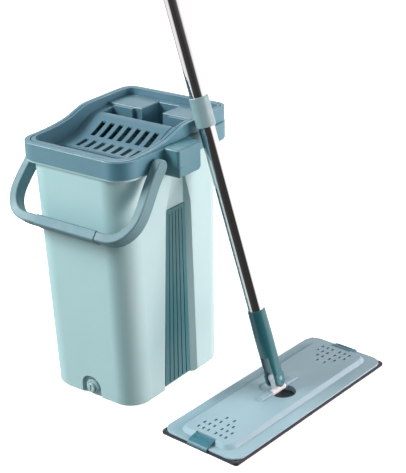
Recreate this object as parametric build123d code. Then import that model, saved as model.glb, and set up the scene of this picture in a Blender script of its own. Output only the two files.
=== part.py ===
from build123d import *
import os
from math import sin, cos, tan, radians, degrees, atan2, sqrt, pi

# Flat-mop set: a tall tapered bucket with a clip-on wringer cover, a carrying
# bail, a drain plug, and a flat mop on a sectioned steel pole.  Millimetres,
# +Z up, origin at the centre of the bucket's base on the floor, the bucket's
# front faces -Y and the mop stands on the floor beside it on the +X side.

# ---------------------------------------------------------------- dimensions
# bucket body
BASE_X, BASE_Y = 154.0, 203.6
TOP_X, TOP_Y = 161.2, 219.6
TOP_Z = 336.5
TOP_CY = -8.2                 # the front face leans out, the back stays upright
BODY_R = 33.0
WALL = 2.4
FLOOR_T = 3.0
FOOT_CHAMFER = 3.0
FLANGE_T = 2.7
# side valleys
VAL_DEPTH = 8.0
VAL_Z1, VAL_Z2 = 265.0, 324.0
VAL_S0, VAL_S1 = 38.0, 27.0   # half width at the surface, bottom and top
VAL_F0, VAL_F1 = 29.0, 20.5   # half width at the valley floor
# drain
DRAIN_Z = 13.2
DRAIN_HOLE_R = 7.0
DRAIN_RECESS = 5.0
PLUG_R = 10.6
PLUG_BORE_R = 5.5
PLUG_STEM_R = 5.45
# top cover
CV_X, CV_Y, CV_CY, CV_R = 182.6, 233.1, -5.25, 29.0
CV_Z0 = 336.6
CV_SKIRT = 2.5
LEDGE_Z = 360.0               # level step all round the cover
# plan outlines, inwards from the skirt: (sides and back, front, front corner r, back corner r)
P_BAND = (0.0, 0.0, 29.0, 29.0)
P_WALL = (3.3, 1.2, 27.5, 18.5)     # raised rim, outer face
P_WALL_IN = (5.8, 3.7, 25.0, 16.0)
P_RIM = (7.9, 5.5, 23.5, 14.0)      # raised rim, inner edge
P_SHELF = (10.2, 8.6, 21.0, 11.7)
P_LIP = (9.3, 6.9, 22.2, 12.6)      # insert's lip, outer edge
P_INWALL = (10.5, 9.0, 20.8, 11.4)
P_LIP_IN = (12.7, 14.4, 18.0, 9.2)  # insert's lip, inner edge
P_DECK = (13.0, 14.8, 17.8, 8.9)
P_HOLLOW = (15.4, 17.2, 15.4, 6.5)
RIM_TOP = 3.2
# wringer insert
DECK_T = 2.6
BOARD_HX = 57.0
BOARD_Y0, BOARD_Y1 = -58.0, 20.8
BOARD_T = 2.2
BOARD_UP = 0.8                # board stands just proud of the deck
SLOT_PITCH = 15.2
SLOT_W = 8.2
SLOT_HX = 64.5                # mop slot half width
SLOT_Y0, SLOT_Y1 = 21.6, 50.0
NOTCH_HX, NOTCH_Y1 = 18.2, 88.0
BOX_TOP = 370.6
BOX_Z0 = 336.6
# rollers in the mop slot
ROLL_R, ROLL_Y, ROLL_Z = 6.5, 45.5, 333.0
ROLL_PIN_R, ROLL_BORE_R = 2.0, 2.06
ROLL_X0, ROLL_X1 = 22.0, 58.0
# bail
BAIL_PY, BAIL_PZ = -63.0, 343.5
BAIL_DROP = 50.5              # degrees below horizontal at rest
BAIL_X = 100.2                # arm centre
BAIL_W, BAIL_T, BAIL_R = 19.6, 12.2, 1.9
BAIL_S = 108.6                # pivot to grip centre
BAIL_CORNER = 38.0
BAIL_FLARE = 3.4
STUD_R, EYE_R = 4.0, 4.06
GRIP_X0, GRIP_X1 = -47.5, 55.0   # grip sleeve's seat on the bar
GRIP_GAP = 1.0                # open seam at each end of the sleeve
# side housings
SH_X1 = 115.0
SH_Y0, SH_Y1 = -41.0, 9.0
SH_Z0, SH_Z1 = 323.0, 361.0
# mop head
HEAD_X, HEAD_Y, HEAD_A = 213.4, 37.9, 86.1
PAD_L, PAD_W, PAD_T, PAD_R = 336.0, 127.0, 5.0, 5.0
PLATE_L, PLATE_W, PLATE_Z0, PLATE_T = 334.6, 125.4, 6.0, 2.0
PLATE_R = 18.0
PANEL_L, PANEL_W, PANEL_Z1 = 304.0, 80.0, 14.0   # raised panel at its top
PANEL_OUT = 4.5               # how far its sloping sides run out at the foot
CLIP_W = 32.0
TILT_Z = 13.5                 # long-axis hinge height
WELL_R, WELL_Y = 18.2, 9.0    # round wells either side of the swivel
YOKE_UP = 17.2                # from long-axis hinge to yoke pin
TILT_A, SWING_A = 16.883, -2.064  # pole lean at rest, degrees
TILT_PIN_R, TILT_BORE_R = 2.0, 2.05
BARREL_R = 4.3
YOKE_PIN_R, YOKE_BORE_R = 3.0, 3.05
# pole, measured along it from the yoke pin
SLEEVE_Z1 = 100.5
FORK_TOP = 33.0               # slot between the prongs ends here
PRONG_END = 12.4
TUBE_R, TUBE_W = 11.0, 0.8
COLLAR_R, COLLAR_L = 13.2, 40.0
JOINTS_S = (377.0, 667.0, 957.0)
POLE_TOP = 1147.0

os.makedirs("parts", exist_ok=True)
NODES = {}


def save(name, shape):
    NODES[name] = shape
    export_step(shape, "parts/%s.step" % name)


def rrect(w, h, r, z, cy=0.0, cx=0.0):
    return Pos(cx, cy, z) * RectangleRounded(w, h, r)


def prism(w, h, r, z0, z1, cy=0.0, cx=0.0):
    return extrude(rrect(w, h, r, z0, cy, cx), z1 - z0)


def box(x0, x1, y0, y1, z0, z1):
    return Pos((x0 + x1) / 2, (y0 + y1) / 2, (z0 + z1) / 2) * Box(x1 - x0, y1 - y0, z1 - z0)


def cyl(r, p, q):
    """Cylinder of radius r from point p to point q."""
    p, q = Vector(*p), Vector(*q)
    d = q - p
    pl = Plane(origin=p, z_dir=d.normalized())
    return extrude(pl * Circle(r), d.length)


def try_fillet(shape, edges, r):
    try:
        out = fillet(edges, r)
        if out.is_valid and out.volume > 0:
            return out
    except Exception:
        pass
    return shape


def yz_prism(pts_face, x0, x1):
    """Extrude a face drawn in (y, z) along X from x0 to x1."""
    return Pos(x0, 0, 0) * extrude(Plane.YZ * pts_face, x1 - x0)


# ---------------------------------------------------------------- bucket body
def half_x(z):
    return (BASE_X + (TOP_X - BASE_X) * z / TOP_Z) / 2


def body_dims(z):
    k = z / TOP_Z
    return (BASE_X + (TOP_X - BASE_X) * k, BASE_Y + (TOP_Y - BASE_Y) * k, TOP_CY * k)


def body_loft(off, z0, z1):
    w0, h0, c0 = body_dims(z0)
    w1, h1, c1 = body_dims(z1)
    r = BODY_R - off
    return loft([rrect(w0 - 2 * off, h0 - 2 * off, r, z0, c0),
                 rrect(w1 - 2 * off, h1 - 2 * off, r, z1, c1)])


def valley(side, grow):
    """Tapered trapezoid cutter of one side valley, fading out at its top."""
    def sec(z, depth, hs, hf):
        xs = half_x(z)
        xf = xs - depth - grow
        g = grow * 1.15
        k = (hs - hf) / max(depth, 0.5)
        xo = 96.0
        ho = hf + g + k * (xo - (xs - depth))
        pts = [(xf, -(hf + g)), (xo, -ho), (xo, ho), (xf, hf + g)]
        return Pos(0, 0, z) * make_face(Polyline(*[(side * x, y) for x, y in pts], close=True))
    a = sec(-1.0, VAL_DEPTH, VAL_S0, VAL_F0)
    b = sec(VAL_Z1, VAL_DEPTH, VAL_S1, VAL_F1)
    top = Pos(0, 0, VAL_Z2) * make_face(Polyline(*[(side * x, y) for x, y in [
        (half_x(VAL_Z2) + 0.6 - grow, -(9.0 + grow)), (96.0, -22.0), (96.0, 22.0),
        (half_x(VAL_Z2) + 0.6 - grow, 9.0 + grow)]], close=True))
    return loft([a, b], ruled=True) + loft([b, top], ruled=True)


def arch(w, top, y0, y1):
    r = w / 2
    f = Pos(0, (top - r) / 2) * Rectangle(w, top - r) + Pos(0, top - r) * Circle(r)
    return Pos(0, y1, 0) * extrude(Plane.XZ * f, y1 - y0)


w0, h0, c0 = body_dims(0)
w1, h1, c1 = body_dims(FOOT_CHAMFER)
foot = loft([rrect(w0 - 2 * FOOT_CHAMFER, h0 - 2 * FOOT_CHAMFER, BODY_R - FOOT_CHAMFER, 0, c0),
             rrect(w1, h1, BODY_R, FOOT_CHAMFER, c1)])
outer = foot + body_loft(0, FOOT_CHAMFER, TOP_Z)
outer = outer - valley(1, 0) - valley(-1, 0)
RY0 = -BASE_Y / 2 + DRAIN_RECESS
outer = outer - arch(34, 31, -115, RY0)
inner = body_loft(WALL, FLOOR_T, TOP_Z + 2)
inner = inner - valley(1, WALL) - valley(-1, WALL)
inner = inner - arch(34 + 2 * WALL, 31 + WALL, -115, RY0 + WALL)
body = outer - inner
fw, fh, fr = 180.2, 230.7, 28.0
fl = prism(fw, fh, fr, TOP_Z - FLANGE_T, TOP_Z, CV_CY) - body_loft(WALL, TOP_Z - 12, TOP_Z + 2)
body = body + fl
body = body - cyl(DRAIN_HOLE_R, (0, -115, DRAIN_Z), (0, RY0 + WALL + 4, DRAIN_Z))
save("bucket_body", body)

# ribbed panels laid on the valley floors
def rib_panel(side):
    slope = (half_x(VAL_Z1) - half_x(0)) / VAL_Z1
    x0 = half_x(0) - VAL_DEPTH
    pl = Plane(origin=(x0 + 0.02, 0, 0), x_dir=(0, 1, 0), z_dir=(1, 0, -slope))
    zb, zt = 3.4, 263.0
    def hw(z):
        return VAL_F0 + (VAL_F1 - VAL_F0) * z / VAL_Z1 - 0.5
    base = make_face(Polyline((-hw(zb), zb), (hw(zb), zb), (hw(zt), zt), (-hw(zt), zt), close=True))
    p = extrude(pl * base, 1.1)
    n = 6
    for i in range(n):
        def yy(k, z):
            return -hw(z) + 2 * hw(z) * k
        a, b = (i + 0.10) / n, (i + 0.90) / n
        if i == 0:
            a = 0.0
        if i == n - 1:
            b = 1.0
        zz0, zz1 = zb, zt - 1.6
        rib = make_face(Polyline((yy(a, zz0), zz0), (yy(b, zz0), zz0), (yy(b, zz1), zz1), (yy(a, zz1), zz1), close=True))
        p = p + extrude(pl * rib, 2.6)
    # top border strip ties the ribs together
    cap = make_face(Polyline((-hw(zt - 5), zt - 5), (hw(zt - 5), zt - 5), (hw(zt), zt), (-hw(zt), zt), close=True))
    p = p + extrude(pl * cap, 2.6)
    if side < 0:
        p = mirror(p, Plane.YZ)
    return p


save("rib_panel_right", rib_panel(1))
save("rib_panel_left", rib_panel(-1))

# drain: soft grommet in the wall, push-in plug
gy = RY0
grom = cyl(9.2, (0, gy - 1.4, DRAIN_Z), (0, gy - 0.02, DRAIN_Z)) \
    + cyl(DRAIN_HOLE_R - 0.02, (0, gy - 0.1, DRAIN_Z), (0, gy + WALL + 0.1, DRAIN_Z)) \
    + cyl(8.4, (0, gy + WALL + 0.02, DRAIN_Z), (0, gy + WALL + 1.4, DRAIN_Z))
grom = grom - cyl(PLUG_BORE_R, (0, gy - 5, DRAIN_Z), (0, gy + 10, DRAIN_Z))
save("drain_grommet", grom)
fy = gy - 1.6
plug = cyl(PLUG_STEM_R, (0, fy - 0.5, DRAIN_Z), (0, gy + WALL + 3.0, DRAIN_Z)) \
    + cyl(PLUG_R, (0, fy - 2.2, DRAIN_Z), (0, fy, DRAIN_Z))
ring = cyl(PLUG_R - 1.0, (0, fy - 3.0, DRAIN_Z), (0, fy - 2.0, DRAIN_Z)) - cyl(PLUG_R - 2.4, (0, fy - 4, DRAIN_Z), (0, fy - 1, DRAIN_Z))
knob = cyl(6.9, (0, fy - 6.6, DRAIN_Z), (0, fy - 2.0, DRAIN_Z))
knob = try_fillet(knob, knob.edges().sort_by(Axis.Y)[0:1], 1.2)
plug = plug + ring + knob
plug = plug - box(-1.2, 1.2, fy - 8, fy - 5.2, DRAIN_Z - 5.0, DRAIN_Z + 5.0)
save("drain_plug", plug)

# ---------------------------------------------------------------- top cover
RIM_PTS = [(-140, 360.8), (-100, 360.8), (-80, 361.4), (-61, 362.4), (-45.6, 364.1), (-37.6, 365.2), (-29.6, 366.7),
           (-21.4, 368.9), (-13, 371.6), (-4.7, 374.4), (3.7, 376.7), (12, 377.9), (20, 378.3), (37, 378.7), (54, 379.2),
           (71, 379.6), (90, 379.8), (130, 379.8)]
DECK_PTS = [(-140, 338.5), (-90, 339.6), (-60, 341.0), (-45, 342.3), (-32, 344.4), (-21, 347.4), (-8, 353.2),
            (5, 359.8), (13, 363.2), (21, 365.0), (36, 366.0), (60, 366.6), (90, 366.8), (130, 366.8)]


def below(pts, x0, x1, zlow, drop=0.0):
    """Solid under a spline profile z(y)."""
    p = [(y, z - drop) for y, z in pts]
    s = Spline(*p)
    f = make_face([s, Line(p[-1], (p[-1][0], zlow)), Line((p[-1][0], zlow), (p[0][0], zlow)), Line((p[0][0], zlow), p[0])])
    return yz_prism(f, x0, x1)


def band(pts, x0, x1, drop, thick):
    """Sheet of given vertical thickness under a spline profile."""
    return below(pts, x0, x1, 300.0, drop) - below(pts, x0 - 1, x1 + 1, 290.0, drop + thick)


def cvp(plan, z0, z1):
    """Prism on one of the cover's plan outlines."""
    side, front, rf, rb = plan
    x = CV_X / 2 - side
    y0, y1 = CV_CY - CV_Y / 2 + front, CV_CY + CV_Y / 2 - side
    sk = Pos(0, (y0 + y1) / 2) * Rectangle(2 * x, y1 - y0)
    sk = fillet([v for v in sk.vertices() if v.Y < 0], rf)
    sk = fillet([v for v in sk.vertices() if abs(v.Y - y1) < 0.01 and abs(abs(v.X) - x) < 0.01], rb)
    return Pos(0, 0, z0) * extrude(sk, z1 - z0)


lower = cvp(P_BAND, CV_Z0, LEDGE_Z)
top_e = lower.edges().filter_by(lambda e: abs(e.center().Z - LEDGE_Z) < 0.01)
lower = try_fillet(lower, top_e, 1.2)
skirt = lower - cvp((CV_SKIRT, CV_SKIRT, 26.5, 26.5), 300, LEDGE_Z - 2.6) - cvp(P_WALL_IN, 300, 410)
wall = (cvp(P_WALL, LEDGE_Z - 2.6, 400) - cvp(P_WALL_IN, 300, 410)) & below(RIM_PTS, -120, 120, 300, 0.6)
rimtop = (cvp(P_WALL, LEDGE_Z - 2.6, 400) - cvp(P_RIM, 300, 410)) & band(RIM_PTS, -120, 120, 0, RIM_TOP)
shelf = (cvp(P_WALL, 340, 400) - cvp(P_SHELF, 300, 410)) & band(RIM_PTS, -120, 120, RIM_TOP - 0.1, 2.3)
cover = skirt + wall + rimtop + shelf
cover = cover - cyl(STUD_R + 0.02, (80, BAIL_PY, BAIL_PZ), (95, BAIL_PY, BAIL_PZ)) \
    - cyl(STUD_R + 0.02, (-80, BAIL_PY, BAIL_PZ), (-95, BAIL_PY, BAIL_PZ))
save("top_cover", cover)

# ---------------------------------------------------------------- wringer insert
ins = cvp(P_INWALL, 300, 400)
deck = band(DECK_PTS, -90, 90, 0, DECK_T) & ins
deck = deck - box(-100, 100, SLOT_Y1 - 0.05, 140, 300, 420)
# the insert's own rim: a lip lying on the cover's inner shelf, and a wall down to the deck
lip_r = (cvp(P_LIP, 340, 400) - cvp(P_LIP_IN, 300, 410)) & band(RIM_PTS, -120, 120, 0.25, RIM_TOP - 0.4)
wall_r = (cvp(P_INWALL, 330, 400) - cvp(P_LIP_IN, 300, 410)) & (below(RIM_PTS, -120, 120, 300, 0.6) - below(DECK_PTS, -121, 121, 290, DECK_T))
deck = deck + lip_r + wall_r
# front pouring mouth, washboard window, mop slot
mouth = prism(148, 44, 14, 300, 420, -82.0)
deck = deck - mouth
deck = deck - box(-BOARD_HX - 0.3, BOARD_HX + 0.3, BOARD_Y0 + 0.0, SLOT_Y0, 300, 420)
deck = deck - box(-SLOT_HX, SLOT_HX, SLOT_Y0 - 0.1, SLOT_Y1 + 10.0, 300, 420)
# strip in front of the window is kept as a cross bar
# hanging side walls of the mop slot, with a land for the washboard
sidew = box(SLOT_HX, SLOT_HX + 2.4, 14.0, SLOT_Y1 - 0.05, 322.0, 364.0)
sidew = sidew + mirror(sidew, Plane.YZ)
ledge = (box(BOARD_HX - 2.5, BOARD_HX + 3.0, BOARD_Y0 - 3, SLOT_Y0 - 0.8, 300, 400) & band(DECK_PTS, -90, 90, BOARD_T + 0.05 - BOARD_UP, 2.4))
join = (box(BOARD_HX + 0.3, BOARD_HX + 3.0, BOARD_Y0 - 3, SLOT_Y0 - 0.8, 300, 400) & band(DECK_PTS, -90, 90, 0.5, BOARD_T + 1.0))
ledge = ledge + join
ledge = ledge + mirror(ledge, Plane.YZ)
front_ledge = (box(-BOARD_HX - 2.5, BOARD_HX + 2.5, BOARD_Y0 - 2.0, BOARD_Y0 + 2.2, 300, 400) & band(DECK_PTS, -90, 90, BOARD_T + 0.05 - BOARD_UP, 2.4)) \
    + (box(-BOARD_HX - 2.5, BOARD_HX + 2.5, BOARD_Y0 - 2.0, BOARD_Y0 - 0.2, 300, 400) & band(DECK_PTS, -90, 90, 0.0, BOARD_T + 2.4))
spigot = (prism(152.8, 207.6, 28.0, 324.0, 342.0, TOP_CY) - prism(148.4, 203.2, 25.8, 300, 420, TOP_CY)) & below(DECK_PTS, -120, 120, 300, 0.5)
spigot = spigot - box(-100, 100, 14.0, 140, 300, 420)
frame_ = deck + sidew + ledge + front_ledge + spigot
save("wash_frame", frame_)

# slotted washboard
bd = band(DECK_PTS, -BOARD_HX, BOARD_HX, -BOARD_UP, BOARD_T) & box(-BOARD_HX, BOARD_HX, BOARD_Y0 + 0.1, BOARD_Y1, 300, 400)
lip = (box(-BOARD_HX + 2.7, BOARD_HX - 2.7, BOARD_Y1 - 2.4, BOARD_Y1, 352.0, 400) & below(DECK_PTS, -90, 90, 300, -BOARD_UP))
bd = bd + lip
for k in range(-3, 4):
    x = k * SLOT_PITCH
    bd = bd - Pos(x, -9.5, 300) * extrude(RectangleRounded(SLOT_W, 27.0, 1.4), 120)
    bd = bd - Pos(x, -43.0, 300) * extrude(RectangleRounded(SLOT_W - 0.8, 22.0, 1.4), 120)
save("washboard", bd)

# wringer deck: two hollow boxes joined behind the notch
bx = cvp(P_DECK, BOX_Z0, BOX_TOP) & box(-100, 100, SLOT_Y1, 140, 300, 400)
bx = bx - box(-NOTCH_HX, NOTCH_HX, SLOT_Y1 - 1, NOTCH_Y1, 300, 400)
# the outer part of each box front stands 5.5 mm proud
proud = box(31, SLOT_HX - 0.5, SLOT_Y1 - 5.5, SLOT_Y1 + 1, BOX_Z0 + 8, BOX_TOP - 1.8)
proud = proud + mirror(proud, Plane.YZ)
front_e = bx.edges().filter_by(lambda e: abs(e.center().Z - BOX_TOP) < 0.01)
bx = try_fillet(bx, front_e, 1.6)
bx = bx + proud
hol = cvp(P_HOLLOW, 300, BOX_TOP - 2.4) & box(-100, 100, SLOT_Y1 + 2.4, 140, 300, 400)
hol = hol - box(-NOTCH_HX - 2.4, NOTCH_HX + 2.4, SLOT_Y1 - 1, NOTCH_Y1 + 2.4, 300, 400)
bx = bx - hol
bx = bx - box(-SLOT_HX - 1, SLOT_HX + 1, SLOT_Y1 - 10, SLOT_Y1 + 3.2, 300, 341.2)
# roller ears under each box front
def ears(s):
    out = None
    for xa in (ROLL_X0 - 3.4, ROLL_X1 + 0.4):
        e = box(xa, xa + 3.0, SLOT_Y1 - 8.0, SLOT_Y1 + 6.0, ROLL_Z - 6.0, 347.0)
        e = e - cyl(ROLL_PIN_R + 0.0, (xa - 1, ROLL_Y, ROLL_Z), (xa + 4, ROLL_Y, ROLL_Z))
        # above the pins the ears stand back from the mop slot
        e = e - box(xa - 1, xa + 4, SLOT_Y1 - 12.0, SLOT_Y1 - 5.3, ROLL_Z + 4.1, 360.0)
        out = e if out is None else out + e
    web = box(ROLL_X0 - 3.4, ROLL_X1 + 3.4, SLOT_Y1 + 3.6, SLOT_Y1 + 6.0, ROLL_Z - 6.0, 347.0)
    out = out + web
    return out if s > 0 else mirror(out, Plane.YZ)


bx = bx + box(-SLOT_HX, -NOTCH_HX - 0.1, SLOT_Y1, SLOT_Y1 + 6.0, 341.4, 347.0) + box(NOTCH_HX + 0.1, SLOT_HX, SLOT_Y1, SLOT_Y1 + 6.0, 341.4, 347.0)
bx = bx + ears(1) + ears(-1)
save("wringer_deck", bx)

pins = None
for s in (1, -1):
    a, b = ROLL_X0 - 3.4, ROLL_X1 + 3.4
    p = cyl(ROLL_PIN_R, (s * a, ROLL_Y, ROLL_Z), (s * b, ROLL_Y, ROLL_Z))
    pins = p if pins is None else pins + p
save("roller_pins", pins)
for nm, s in (("roller_right", 1), ("roller_left", -1)):
    a, b = (ROLL_X0, ROLL_X1)
    r = cyl(ROLL_R, (s * a, ROLL_Y, ROLL_Z), (s * b, ROLL_Y, ROLL_Z))
    for i in range(1, 8):
        xg = s * (a + (b - a) * i / 8)
        g = cyl(ROLL_R + 1, (xg - 0.5, ROLL_Y, ROLL_Z), (xg + 0.5, ROLL_Y, ROLL_Z)) - cyl(ROLL_R - 0.7, (xg - 1, ROLL_Y, ROLL_Z), (xg + 1, ROLL_Y, ROLL_Z))
        r = r - g
    r = r - cyl(ROLL_BORE_R, (s * (a - 1), ROLL_Y, ROLL_Z), (s * (b + 1), ROLL_Y, ROLL_Z))
    save(nm, r)

# scraper: rigid holder under the washboard's back edge, soft lip on it
holder = box(-SLOT_HX + 0.1, SLOT_HX - 0.1, 17.2, 20.0, 324.0, 351.8) + box(-SLOT_HX + 0.1, SLOT_HX - 0.1, 12.0, 20.0, 346.0, 348.4)
save("scraper_holder", holder)
lipf = make_face(Polyline((20.02, 326.0), (22.4, 326.0), (28.0, 331.0), (28.0, 332.6), (22.4, 336.0), (20.02, 336.0), close=True))
save("scraper_lip", yz_prism(lipf, -SLOT_HX + 1.0, SLOT_HX - 1.0))

# ---------------------------------------------------------------- side housing
def housing(side):
    x0 = CV_X / 2 + 0.1
    # plan with a bevelled rear corner, bevelled underneath at the back, all outer edges well rounded
    f = make_face(Polyline((x0, SH_Y0), (SH_X1, SH_Y0), (SH_X1, SH_Y1 - 5.0), (SH_X1 - 5.0, SH_Y1), (x0, SH_Y1), close=True))
    h = Pos(0, 0, SH_Z0) * extrude(f, SH_Z1 - SH_Z0)
    bot = h.edges().filter_by(Axis.X).filter_by(lambda e: e.center().Z < SH_Z0 + 1 and e.center().Y > 0)
    h = chamfer(bot, 7.0)
    h = fillet([e for e in h.edges() if abs(e.center().X - x0) > 0.05], 3.2)
    h = h - box(x0 - 1, SH_X1 - 2.4, SH_Y0 + 2.4, SH_Y1 - 7.5, SH_Z0 + 9.5, SH_Z1 - 2.6)
    # latch tab wrapped round the front corner, standing proud of both faces, with a parting groove round it
    g0, g1, gz = SH_Z1 - 23.5, SH_Z1 - 22.5, SH_Z1 - 3.0
    qx, qy = SH_X1 - 3.2, SH_Y0 + 3.2
    gr = box(SH_X1 - 0.8, SH_X1 + 1, qy, SH_Y0 + 6.4, g0, g1) + box(SH_X1 - 0.8, SH_X1 + 1, SH_Y0 + 5.4, SH_Y0 + 6.4, g0, gz) \
        + box(SH_X1 - 10.6, qx, SH_Y0 - 1, SH_Y0 + 0.8, g0, g1) + box(SH_X1 - 10.6, SH_X1 - 9.6, SH_Y0 - 1, SH_Y0 + 0.8, g0, gz)
    arc = (cyl(5.0, (qx, qy, g0), (qx, qy, g1)) - cyl(2.4, (qx, qy, g0 - 1), (qx, qy, g1 + 1))) & box(qx, qx + 6, qy - 6, qy, g0, g1)
    h = h - gr - arc
    tab = box(SH_X1 - 9.6, SH_X1 + 0.8, SH_Y0 - 1.8, SH_Y0 + 5.4, SH_Z1 - 22.5, SH_Z1 - 0.8)
    tab = fillet(tab.edges().filter_by(Axis.Z).filter_by(lambda e: e.center().Y < SH_Y0 and e.center().X > SH_X1), 4.0)
    tab = try_fillet(tab, tab.edges().filter_by(lambda e: e.center().Z > SH_Z1 - 0.9), 0.7)
    tab = tab - box(SH_X1 - 20, SH_X1 - 2.4, SH_Y0 + 2.4, SH_Y1, SH_Z0, SH_Z1 - 2.6)
    h = h + tab
    return h if side > 0 else mirror(h, Plane.YZ)


save("side_housing_right", housing(1))

# ---------------------------------------------------------------- bail
def bail_plane():
    a = radians(BAIL_DROP)
    d = Vector(0, -cos(a), -sin(a))
    x = Vector(1, 0, 0)
    return Plane(origin=(0, BAIL_PY, BAIL_PZ), x_dir=x, z_dir=x.cross(d))


BP = bail_plane()
xa, xf = BAIL_X, BAIL_X + BAIL_FLARE
s_bend = BAIL_S - BAIL_CORNER
kk = BAIL_CORNER * 0.58


def bail_path():
    p0 = (xa, 12.0)
    p1 = (xf, s_bend - 4)
    p2 = (xf - BAIL_CORNER, BAIL_S)
    arm = Spline(p0, ((xa + xf) / 2, 12.0 + (s_bend - 16) * 0.5), p1, tangents=[(0.0, 1), (0.0, 1)])
    bend = Spline(p1, (xf - BAIL_CORNER * 0.235, BAIL_S - BAIL_CORNER * 0.31 - 1.5), p2, tangents=[(0.0, 1), (-1, 0.0)])
    return arm, bend


arm, bend = bail_path()
mid = Line((xf - BAIL_CORNER, BAIL_S), (-(xf - BAIL_CORNER), BAIL_S))


def bail_half():
    w = Wire([Line((xa, 0.0), (xa, 12.0)), arm, bend])
    path = BP * w
    start = Plane(origin=path @ 0, z_dir=path % 0, x_dir=(1, 0, 0))
    sec = start * RectangleRounded(BAIL_T, BAIL_W, BAIL_R)
    return sweep(sec, path=path)


bh = bail_half()
bm = mirror(bh, Plane.YZ)
ax = Vector(0, -cos(radians(BAIL_DROP)), -sin(radians(BAIL_DROP)))
cx_ = xf - BAIL_CORNER
gp = Plane(origin=Vector(-cx_ - 0.01, BAIL_PY, BAIL_PZ) + ax * BAIL_S, z_dir=(1, 0, 0), x_dir=ax)
bar = extrude(gp * RectangleRounded(BAIL_T, BAIL_W, BAIL_R), 2 * cx_ + 0.02)
core_cut = extrude(Plane(origin=Vector(GRIP_X0, BAIL_PY, BAIL_PZ) + ax * BAIL_S, z_dir=(1, 0, 0), x_dir=ax)
                   * (Rectangle(40, 40) - RectangleRounded(5.0, 9.0, 1.5)), GRIP_X1 - GRIP_X0)
bail = bh + bm + (bar - core_cut)
for s in (1, -1):
    eye = cyl(BAIL_W / 2, (s * (BAIL_X - BAIL_T / 2), BAIL_PY, BAIL_PZ), (s * (BAIL_X + BAIL_T / 2), BAIL_PY, BAIL_PZ))
    eye = try_fillet(eye, eye.edges(), BAIL_R)
    bail = bail + eye
    # blind bore from the inside: the outer face of the arm stays plain
    bail = bail - cyl(EYE_R, (s * 80, BAIL_PY, BAIL_PZ), (s * (BAIL_X + 2.0), BAIL_PY, BAIL_PZ))
save("bail_frame", bail)

gq = Plane(origin=Vector(GRIP_X0 + GRIP_GAP, BAIL_PY, BAIL_PZ) + ax * BAIL_S, z_dir=(1, 0, 0), x_dir=ax)
grip = extrude(gq * (RectangleRounded(14.0, 21.6, 2.2) - RectangleRounded(5.1, 9.1, 1.5)), GRIP_X1 - GRIP_X0 - 2 * GRIP_GAP)
save("bail_grip", grip)

# pivot studs: spacer boss and a journal that ends inside the arm's blind bore
studs = None
for s in (1, -1):
    x0 = CV_X / 2
    def c_(r, a, b):
        return cyl(r, (s * a, BAIL_PY, BAIL_PZ), (s * b, BAIL_PY, BAIL_PZ))
    st = c_(STUD_R, x0 - CV_SKIRT - 1.5, BAIL_X + 1.8) + c_(7.0, x0 + 0.02, BAIL_X - BAIL_T / 2 - 0.15) \
        + c_(6.0, x0 - CV_SKIRT - 1.9, x0 - CV_SKIRT - 0.02)
    studs = st if studs is None else studs + st
save("bail_studs", studs)

# screws that hold the wringer deck down, heads under the deck top
scr = None
for sx in (1, -1):
    for yy in (62.0, 88.0):
        s_ = cyl(1.6, (sx * 60, yy, BOX_TOP - 12.0), (sx * 60, yy, BOX_TOP - 2.42)) + cyl(3.4, (sx * 60, yy, BOX_TOP - 14.0), (sx * 60, yy, BOX_TOP - 11.8))
        s_ = s_ - box(sx * 60 - 2.4, sx * 60 + 2.4, yy - 0.4, yy + 0.4, BOX_TOP - 14.1, BOX_TOP - 13.1)
        scr = s_ if scr is None else scr + s_
save("deck_screws", scr)

# ---------------------------------------------------------------- mop head
HL = Location((HEAD_X, HEAD_Y, 0), (0, 0, HEAD_A))


def at_head(shape):
    return HL * shape


pad = prism(PAD_L, PAD_W, PAD_R, 0, PAD_T)
save("mop_pad", at_head(pad))

# hook strips under the plate hold the pad's looped back
hs = None
for s in (1, -1):
    for yy in (-38.0, 38.0):
        b = box(s * 95 - 42, s * 95 + 42, yy - 9, yy + 9, PAD_T + 0.1, PLATE_Z0 - 0.02)
        hs = b if hs is None else hs + b
save("hook_strips", at_head(hs))

PZ1 = PLATE_Z0 + PLATE_T
fl_ = prism(PLATE_L, PLATE_W, PLATE_R, PLATE_Z0, PZ1)
pan = loft([rrect(PANEL_L + 2 * PANEL_OUT, PANEL_W + 2 * PANEL_OUT, 15.0, PZ1 - 0.4),
            rrect(PANEL_L, PANEL_W, 12.0, PANEL_Z1)])
te = pan.edges().filter_by(lambda e: abs(e.center().Z - PANEL_Z1) < 0.01)
pan = try_fillet(pan, te, 2.0)
fe = fl_.edges().filter_by(lambda e: abs(e.center().Z - PZ1) < 0.01)
fl_ = try_fillet(fl_, fe, 0.9)
plate = fl_ + pan
# end pockets for the pad clips
for s in (1, -1):
    x0_, x1_ = sorted((s * 149.4, s * 172.0))
    plate = plate - box(x0_, x1_, -CLIP_W / 2 - 0.5, CLIP_W / 2 + 0.5, PZ1, 40)
# swivel well: a round opening down to the pad on the side the fork folds to,
# a shallow dish on the other side, and a slot for the axle barrel
plate = plate - cyl(WELL_R, (0, -WELL_Y, PLATE_Z0 - 1.0), (0, -WELL_Y, 40))
plate = plate - cyl(WELL_R, (0, WELL_Y, PANEL_Z1 - 2.2), (0, WELL_Y, 40))
plate = plate - box(-15.0, 15.0, -5.4, 5.4, 8.4, 40)
# drain perforations
for s in (1, -1):
    for row, cols in ((0, (6.2, 14.6, 22.9)), (1, (6.2, 14.6, 22.9)), (2, (6.2, 14.6)), (3, (6.2,))):
        for c in cols:
            for t in (1, -1):
                plate = plate - Pos(s * (139.2 - 12.6 * row), t * c, 0) * extrude(SlotOverall(6.4, 3.4), 40)
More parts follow.
